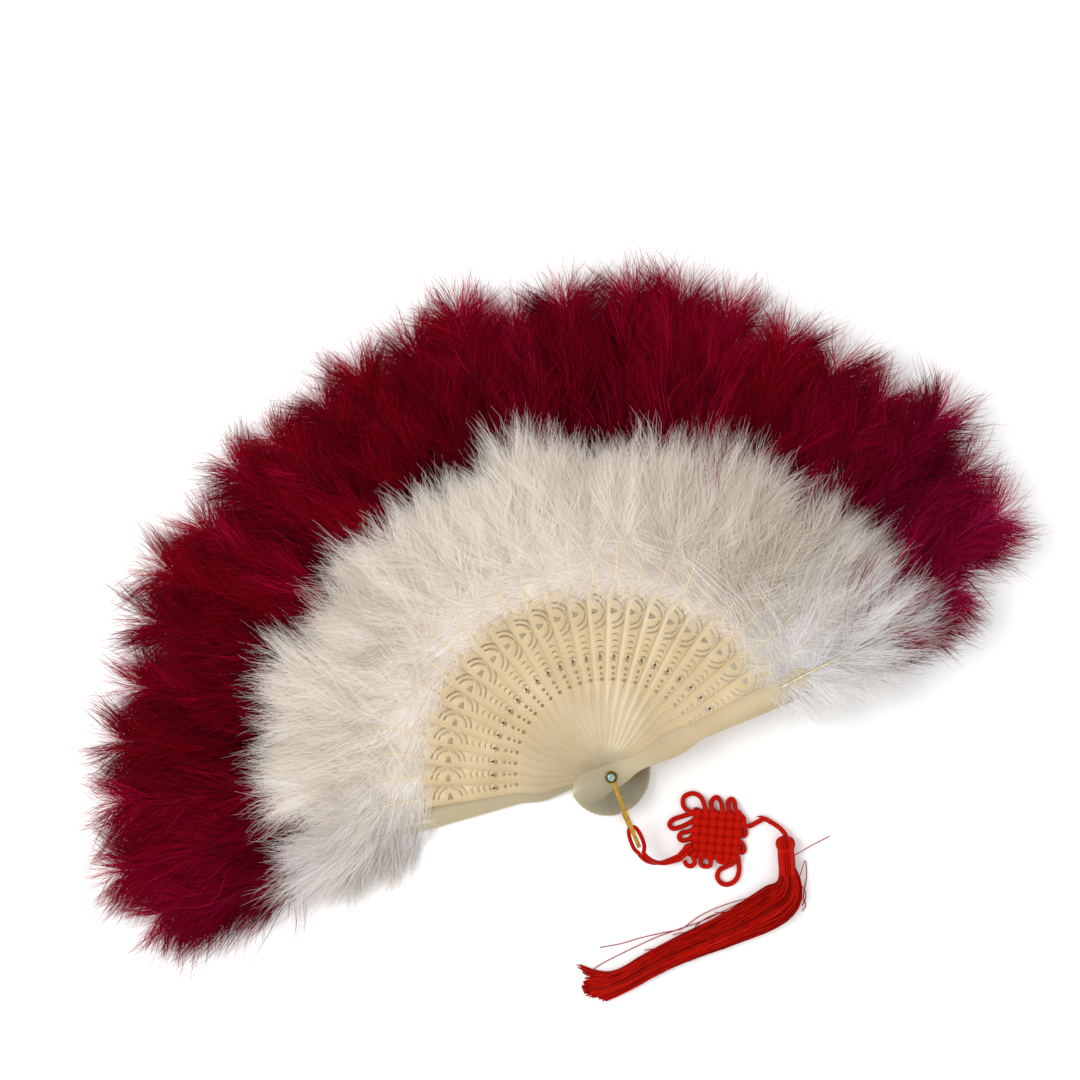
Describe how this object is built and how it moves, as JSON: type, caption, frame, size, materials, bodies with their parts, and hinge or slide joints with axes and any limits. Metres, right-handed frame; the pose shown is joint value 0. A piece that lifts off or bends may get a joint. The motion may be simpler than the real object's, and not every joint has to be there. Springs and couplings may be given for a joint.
{
  "type": "folding feather fan",
  "caption": "Open folding fan with pierced ivory-coloured sticks, white and crimson marabou plumes, a brass bail, and a red knotted cord with a tassel.",
  "frame": {"origin": "on the rivet's axis, at the rivet's back face, which lies on the table", "axes": "+Z through the stack from the back guard to the front guard, +Y along the middle of the open fan, +X to the right as the front is seen"},
  "size_m": [0.508, 0.3665, 0.0279],
  "materials": {
    "ivory_plastic": "moulded, satin gloss",
    "crimson_marabou": "dyed marabou down",
    "white_marabou": "undyed marabou down",
    "rivet_metal": "plated, slightly green",
    "dark_brass": "aged",
    "brass": "polished strip",
    "red_cord": "satin cord",
    "red_thread": "rayon thread"
  },
  "bodies": {
    "back_guard": {"back_guard": "ivory_plastic", "plume_00": "crimson_marabou", "rivet": "rivet_metal", "washer": "dark_brass"},
    "stick_01": {"stick_01": "ivory_plastic", "plume_01": "crimson_marabou"},
    "stick_02": {"stick_02": "ivory_plastic", "plume_02": "crimson_marabou"},
    "stick_03": {"stick_03": "ivory_plastic", "plume_03": "crimson_marabou"},
    "stick_04": {"stick_04": "ivory_plastic", "plume_04": "crimson_marabou"},
    "stick_05": {"stick_05": "ivory_plastic", "plume_05": "crimson_marabou"},
    "stick_06": {"stick_06": "ivory_plastic", "plume_06": "crimson_marabou"},
    "stick_07": {"stick_07": "ivory_plastic", "plume_07": "crimson_marabou"},
    "stick_08": {"stick_08": "ivory_plastic", "plume_08": "crimson_marabou"},
    "stick_09": {"stick_09": "ivory_plastic", "plume_09": "crimson_marabou"},
    "stick_10": {"stick_10": "ivory_plastic", "plume_10": "crimson_marabou"},
    "stick_11": {"stick_11": "ivory_plastic", "plume_11": "crimson_marabou"},
    "stick_12": {"stick_12": "ivory_plastic", "plume_12": "crimson_marabou"},
    "stick_13": {"stick_13": "ivory_plastic", "plume_13": "crimson_marabou"},
    "stick_14": {"stick_14": "ivory_plastic", "plume_14": "crimson_marabou"},
    "stick_15": {"stick_15": "ivory_plastic", "plume_15": "crimson_marabou"},
    "stick_16": {"stick_16": "ivory_plastic", "plume_16": "crimson_marabou"},
    "stick_17": {"stick_17": "ivory_plastic", "plume_17": "crimson_marabou"},
    "stick_18": {"stick_18": "ivory_plastic", "plume_18": "crimson_marabou"},
    "stick_19": {"stick_19": "ivory_plastic", "plume_19": "crimson_marabou"},
    "stick_20": {"stick_20": "ivory_plastic", "plume_20": "crimson_marabou"},
    "stick_21": {"stick_21": "ivory_plastic", "plume_21": "crimson_marabou"},
    "stick_22": {"stick_22": "ivory_plastic", "plume_22": "crimson_marabou"},
    "stick_23": {"stick_23": "ivory_plastic", "plume_23": "crimson_marabou"},
    "stick_24": {"stick_24": "ivory_plastic", "plume_24": "crimson_marabou"},
    "front_guard": {"front_guard": "ivory_plastic", "plume_25": "crimson_marabou"},
    "bail": {"bail": "brass"},
    "tassel": {"hanger_cord": "red_cord", "knot": "red_cord", "tassel_cord": "red_cord", "tassel_cap": "red_cord", "tassel_skirt": "red_thread"}
  },
  "joints": [
    {"name": "fan_fold", "type": "hinge", "parent": "back_guard", "child": "front_guard", "pos_m": [0, 0, 0], "axis": [0, 0, 1], "range_deg": [0, 168]},
    {"name": "fold_01", "type": "hinge", "parent": "back_guard", "child": "stick_01", "pos_m": [0, 0, 0], "axis": [0, 0, 1], "range_deg": [0, 6.77]},
    {"name": "fold_02", "type": "hinge", "parent": "back_guard", "child": "stick_02", "pos_m": [0, 0, 0], "axis": [0, 0, 1], "range_deg": [0, 13.49]},
    {"name": "fold_03", "type": "hinge", "parent": "back_guard", "child": "stick_03", "pos_m": [0, 0, 0], "axis": [0, 0, 1], "range_deg": [0, 20.21]},
    {"name": "fold_04", "type": "hinge", "parent": "back_guard", "child": "stick_04", "pos_m": [0, 0, 0], "axis": [0, 0, 1], "range_deg": [0, 26.93]},
    {"name": "fold_05", "type": "hinge", "parent": "back_guard", "child": "stick_05", "pos_m": [0, 0, 0], "axis": [0, 0, 1], "range_deg": [0, 33.65]},
    {"name": "fold_06", "type": "hinge", "parent": "back_guard", "child": "stick_06", "pos_m": [0, 0, 0], "axis": [0, 0, 1], "range_deg": [0, 40.37]},
    {"name": "fold_07", "type": "hinge", "parent": "back_guard", "child": "stick_07", "pos_m": [0, 0, 0], "axis": [0, 0, 1], "range_deg": [0, 47.09]},
    {"name": "fold_08", "type": "hinge", "parent": "back_guard", "child": "stick_08", "pos_m": [0, 0, 0], "axis": [0, 0, 1], "range_deg": [0, 53.81]},
    {"name": "fold_09", "type": "hinge", "parent": "back_guard", "child": "stick_09", "pos_m": [0, 0, 0], "axis": [0, 0, 1], "range_deg": [0, 60.53]},
    {"name": "fold_10", "type": "hinge", "parent": "back_guard", "child": "stick_10", "pos_m": [0, 0, 0], "axis": [0, 0, 1], "range_deg": [0, 67.25]},
    {"name": "fold_11", "type": "hinge", "parent": "back_guard", "child": "stick_11", "pos_m": [0, 0, 0], "axis": [0, 0, 1], "range_deg": [0, 73.97]},
    {"name": "fold_12", "type": "hinge", "parent": "back_guard", "child": "stick_12", "pos_m": [0, 0, 0], "axis": [0, 0, 1], "range_deg": [0, 80.69]},
    {"name": "fold_13", "type": "hinge", "parent": "back_guard", "child": "stick_13", "pos_m": [0, 0, 0], "axis": [0, 0, 1], "range_deg": [0, 87.41]},
    {"name": "fold_14", "type": "hinge", "parent": "back_guard", "child": "stick_14", "pos_m": [0, 0, 0], "axis": [0, 0, 1], "range_deg": [0, 94.13]},
    {"name": "fold_15", "type": "hinge", "parent": "back_guard", "child": "stick_15", "pos_m": [0, 0, 0], "axis": [0, 0, 1], "range_deg": [0, 100.85]},
    {"name": "fold_16", "type": "hinge", "parent": "back_guard", "child": "stick_16", "pos_m": [0, 0, 0], "axis": [0, 0, 1], "range_deg": [0, 107.57]},
    {"name": "fold_17", "type": "hinge", "parent": "back_guard", "child": "stick_17", "pos_m": [0, 0, 0], "axis": [0, 0, 1], "range_deg": [0, 114.29]},
    {"name": "fold_18", "type": "hinge", "parent": "back_guard", "child": "stick_18", "pos_m": [0, 0, 0], "axis": [0, 0, 1], "range_deg": [0, 121.01]},
    {"name": "fold_19", "type": "hinge", "parent": "back_guard", "child": "stick_19", "pos_m": [0, 0, 0], "axis": [0, 0, 1], "range_deg": [0, 127.73]},
    {"name": "fold_20", "type": "hinge", "parent": "back_guard", "child": "stick_20", "pos_m": [0, 0, 0], "axis": [0, 0, 1], "range_deg": [0, 134.45]},
    {"name": "fold_21", "type": "hinge", "parent": "back_guard", "child": "stick_21", "pos_m": [0, 0, 0], "axis": [0, 0, 1], "range_deg": [0, 141.17]},
    {"name": "fold_22", "type": "hinge", "parent": "back_guard", "child": "stick_22", "pos_m": [0, 0, 0], "axis": [0, 0, 1], "range_deg": [0, 147.89]},
    {"name": "fold_23", "type": "hinge", "parent": "back_guard", "child": "stick_23", "pos_m": [0, 0, 0], "axis": [0, 0, 1], "range_deg": [0, 154.61]},
    {"name": "fold_24", "type": "hinge", "parent": "back_guard", "child": "stick_24", "pos_m": [0, 0, 0], "axis": [0, 0, 1], "range_deg": [0, 161.33]},
    {"name": "bail_swing", "type": "hinge", "parent": "back_guard", "child": "bail", "pos_m": [0, 0, 0], "axis": [0, 0, 1], "range_deg": [-35, 35]},
    {"name": "cord_swing", "type": "hinge", "parent": "bail", "child": "tassel", "pos_m": [0, -0.0392, 0.0137], "axis": [0, 0, 1], "range_deg": [-30, 30]}
  ],
  "couplings": [
    {"joint": "fold_01", "follows": "fan_fold", "ratio": 0.04},
    {"joint": "fold_02", "follows": "fan_fold", "ratio": 0.08},
    {"joint": "fold_03", "follows": "fan_fold", "ratio": 0.12},
    {"joint": "fold_04", "follows": "fan_fold", "ratio": 0.16},
    {"joint": "fold_05", "follows": "fan_fold", "ratio": 0.2},
    {"joint": "fold_06", "follows": "fan_fold", "ratio": 0.24},
    {"joint": "fold_07", "follows": "fan_fold", "ratio": 0.28},
    {"joint": "fold_08", "follows": "fan_fold", "ratio": 0.32},
    {"joint": "fold_09", "follows": "fan_fold", "ratio": 0.36},
    {"joint": "fold_10", "follows": "fan_fold", "ratio": 0.4},
    {"joint": "fold_11", "follows": "fan_fold", "ratio": 0.44},
    {"joint": "fold_12", "follows": "fan_fold", "ratio": 0.48},
    {"joint": "fold_13", "follows": "fan_fold", "ratio": 0.52},
    {"joint": "fold_14", "follows": "fan_fold", "ratio": 0.56},
    {"joint": "fold_15", "follows": "fan_fold", "ratio": 0.6},
    {"joint": "fold_16", "follows": "fan_fold", "ratio": 0.64},
    {"joint": "fold_17", "follows": "fan_fold", "ratio": 0.68},
    {"joint": "fold_18", "follows": "fan_fold", "ratio": 0.72},
    {"joint": "fold_19", "follows": "fan_fold", "ratio": 0.76},
    {"joint": "fold_20", "follows": "fan_fold", "ratio": 0.8},
    {"joint": "fold_21", "follows": "fan_fold", "ratio": 0.84},
    {"joint": "fold_22", "follows": "fan_fold", "ratio": 0.88},
    {"joint": "fold_23", "follows": "fan_fold", "ratio": 0.92},
    {"joint": "fold_24", "follows": "fan_fold", "ratio": 0.96}
  ]
}
